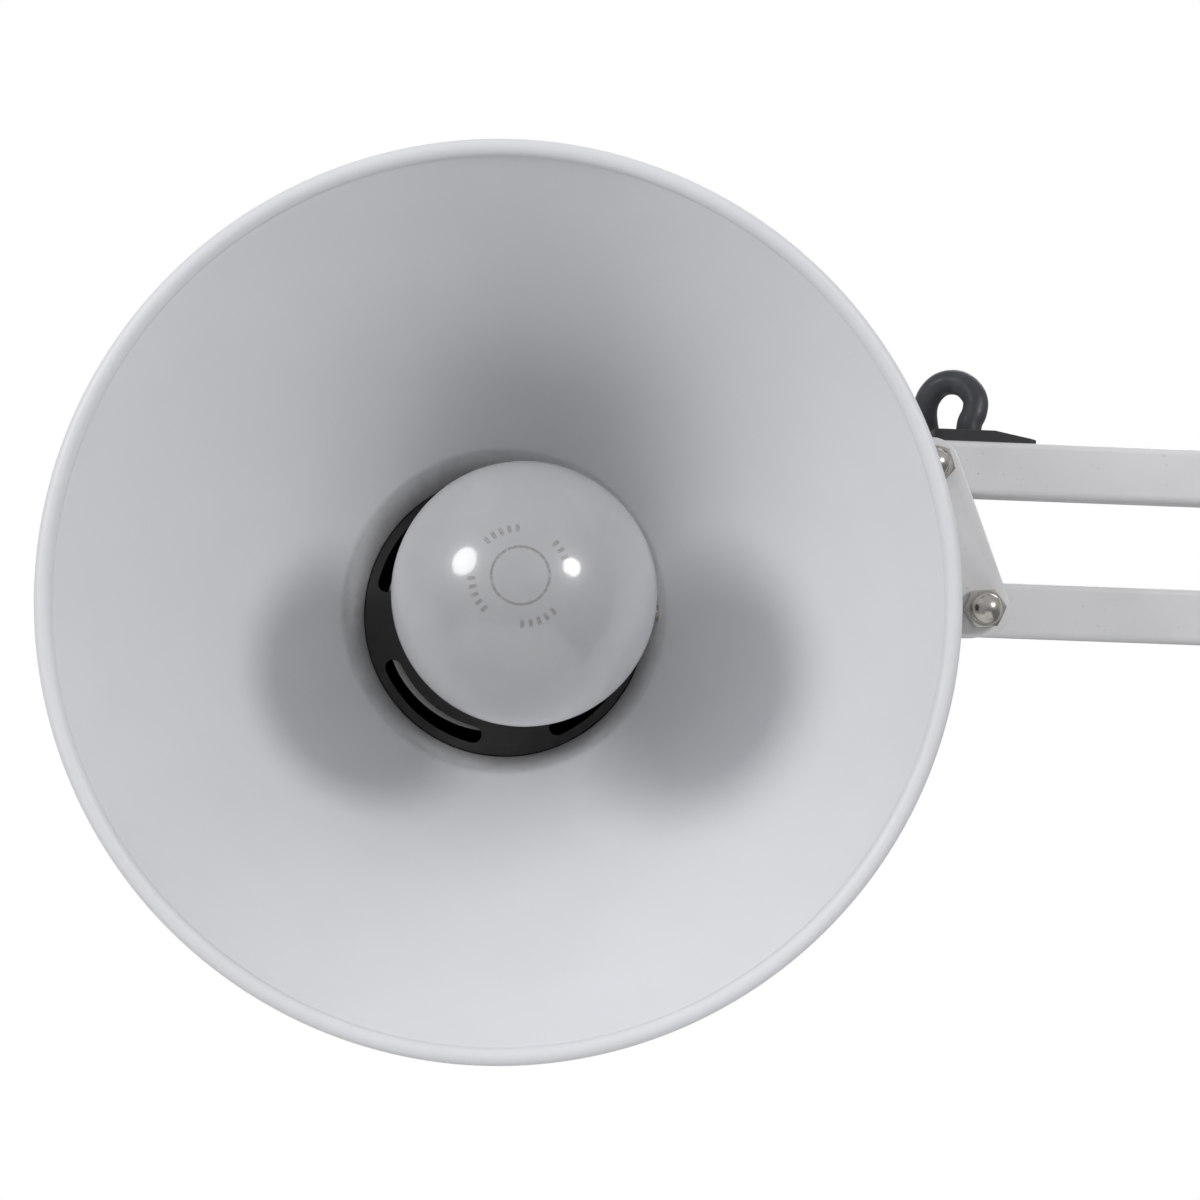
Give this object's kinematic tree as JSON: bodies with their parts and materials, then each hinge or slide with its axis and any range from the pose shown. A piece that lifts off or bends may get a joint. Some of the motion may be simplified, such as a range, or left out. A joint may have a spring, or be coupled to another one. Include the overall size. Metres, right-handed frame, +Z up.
{
  "type": "spring balanced clamp lamp",
  "caption": "Clamp-on arm lamp with a conical spun shade and opal bulb, parallel square-tube arms balanced by springs, tilting and swivelling head and a mains lead.",
  "frame": {"origin": "on the clamp's upper contact face, where it meets the desk top, under the swivel post", "axes": "+Z up along the swivel post, the head towards -X, the shade opening towards -Y"},
  "size_m": [0.5957, 0.1882, 0.6423],
  "materials": {
    "white_enamel": "satin",
    "nickel": "polished",
    "spring_steel": "drawn wire",
    "zinc_steel": "zinc plated",
    "black_nylon": "moulded",
    "black_plate": "matt black",
    "white_ceramic": "glazed ceramic",
    "brass": "bright",
    "bulb_cap_metal": "pressed",
    "opal_glass": "opal, glossy",
    "clear_glass": "clear",
    "flex_pvc": "grey-black PVC",
    "plug_black": "moulded",
    "pad_rubber": "moulded"
  },
  "bodies": {
    "clamp": {"clamp_frame": "white_enamel", "jaw_pad": "pad_rubber", "socket_bush": "black_nylon", "mains_lead": "flex_pvc", "mains_coil": "flex_pvc", "mains_plug": "plug_black", "plug_pins": "brass"},
    "pad": {"pressure_pad": "zinc_steel"},
    "screw": {"clamp_screw": "zinc_steel", "clamp_handle": "black_nylon"},
    "bracket": {"swivel_post": "zinc_steel", "shoulder_bracket": "white_enamel", "shoulder_fasteners": "nickel", "base_cable_clip": "black_nylon", "base_flex": "flex_pvc", "lower_springs": "spring_steel"},
    "lower_front": {"lower_bar_front": "white_enamel", "lower_plugs_front": "black_nylon", "lower_cable_entries": "black_nylon", "lower_spring_studs": "spring_steel", "lower_flex_run": "flex_pvc"},
    "lower_rear": {"lower_bar_rear": "white_enamel", "lower_plugs_rear": "black_nylon"},
    "elbow": {"elbow_plate_front": "white_enamel", "elbow_plate_rear": "white_enamel", "elbow_fasteners": "nickel", "elbow_cable_clip": "black_nylon", "elbow_flex_upper": "flex_pvc", "elbow_flex_lower": "flex_pvc", "upper_springs": "spring_steel"},
    "upper_top": {"upper_bar_top": "white_enamel", "upper_plugs_top": "black_nylon", "upper_cable_entries": "black_nylon", "upper_spring_studs": "spring_steel", "upper_flex_run": "flex_pvc"},
    "upper_bottom": {"upper_bar_bottom": "white_enamel", "upper_plugs_bottom": "black_nylon"},
    "head_link": {"link_plate_front": "white_enamel", "link_plate_rear": "white_enamel", "link_fasteners": "nickel", "tilt_eye_bolt": "nickel", "head_loop": "flex_pvc"},
    "knob": {"tilt_knob": "black_nylon"},
    "knuckle": {"head_knuckle": "white_enamel", "head_flex": "flex_pvc"},
    "head": {"swivel_stem": "nickel", "shade_bracket": "white_enamel", "head_fasteners": "nickel", "shade": "white_enamel", "vent_plate": "black_plate", "back_cap": "white_enamel", "cable_gland": "black_nylon", "switch_body": "black_nylon", "bulb_glass": "opal_glass", "bulb_cap": "bulb_cap_metal", "bulb_contact": "brass", "bulb_stem": "clear_glass", "holder_shell": "brass", "lampholder": "white_ceramic"},
    "button": {"switch_button": "black_nylon"}
  },
  "joints": [
    {"name": "base_swivel", "type": "hinge", "parent": "clamp", "child": "bracket", "pos_m": [0, 0, 0.03], "axis": [0, 0, 1], "range_deg": [-120, 120], "deforming": ["mains_lead"]},
    {"name": "shoulder_pitch", "type": "hinge", "parent": "bracket", "child": "lower_front", "pos_m": [-0.015, 0, 0.058], "axis": [0, 1, 0], "range_deg": [-45, 15], "deforming": ["lower_springs", "base_flex", "elbow_flex_lower"]},
    {"name": "shoulder_rear", "type": "hinge", "parent": "bracket", "child": "lower_rear", "pos_m": [0.015, 0, 0.058], "axis": [0, 1, 0], "range_deg": [-46, 16]},
    {"name": "elbow_level", "type": "hinge", "parent": "lower_front", "child": "elbow", "pos_m": [0.10471, 0, 0.38689], "axis": [0, 1, 0], "range_deg": [-16, 46]},
    {"name": "elbow_pitch", "type": "hinge", "parent": "elbow", "child": "upper_top", "pos_m": [0.08381, 0, 0.44229], "axis": [0, 1, 0], "range_deg": [-60, 38], "deforming": ["upper_springs", "elbow_flex_upper", "head_loop"]},
    {"name": "elbow_lower", "type": "hinge", "parent": "elbow", "child": "upper_bottom", "pos_m": [0.09471, 0, 0.41089], "axis": [0, 1, 0], "range_deg": [-61, 39]},
    {"name": "head_level", "type": "hinge", "parent": "upper_top", "child": "head_link", "pos_m": [-0.26598, 0, 0.45451], "axis": [0, 1, 0], "range_deg": [-39, 61]},
    {"name": "tilt_lock", "type": "hinge", "parent": "head_link", "child": "knob", "pos_m": [-0.27778, -0.012, 0.42361], "axis": [0, 1, 0], "range_deg": [-180, 180]},
    {"name": "head_tilt", "type": "hinge", "parent": "head_link", "child": "knuckle", "pos_m": [-0.27778, 0, 0.42361], "axis": [0, 1, 0], "range_deg": [-75, 40]},
    {"name": "head_swivel", "type": "hinge", "parent": "knuckle", "child": "head", "pos_m": [-0.27778, 0, 0.42361], "axis": [1, 0, 0], "range_deg": [-45, 135], "deforming": ["head_flex"]},
    {"name": "switch_press", "type": "slide", "parent": "head", "child": "button", "axis": [0, -1, 0], "range_m": [0, 0.003], "stiffness_N_per_m": 400},
    {"name": "clamp_turn", "type": "hinge", "parent": "pad", "child": "screw", "pos_m": [-0.002, 0, -0.1], "axis": [0, 0, 1], "range_deg": [-4850, 4850]},
    {"name": "clamp_slide", "type": "slide", "parent": "clamp", "child": "pad", "axis": [0, 0, 1], "range_m": [-0.02, 0.02]}
  ],
  "couplings": [
    {"joint": "shoulder_rear", "follows": "shoulder_pitch", "ratio": 1},
    {"joint": "elbow_level", "follows": "shoulder_pitch", "ratio": -1},
    {"joint": "elbow_lower", "follows": "elbow_pitch", "ratio": 1},
    {"joint": "head_level", "follows": "elbow_pitch", "ratio": -1},
    {"joint": "clamp_turn", "follows": "clamp_slide", "rad_per_m": 4188.8}
  ]
}
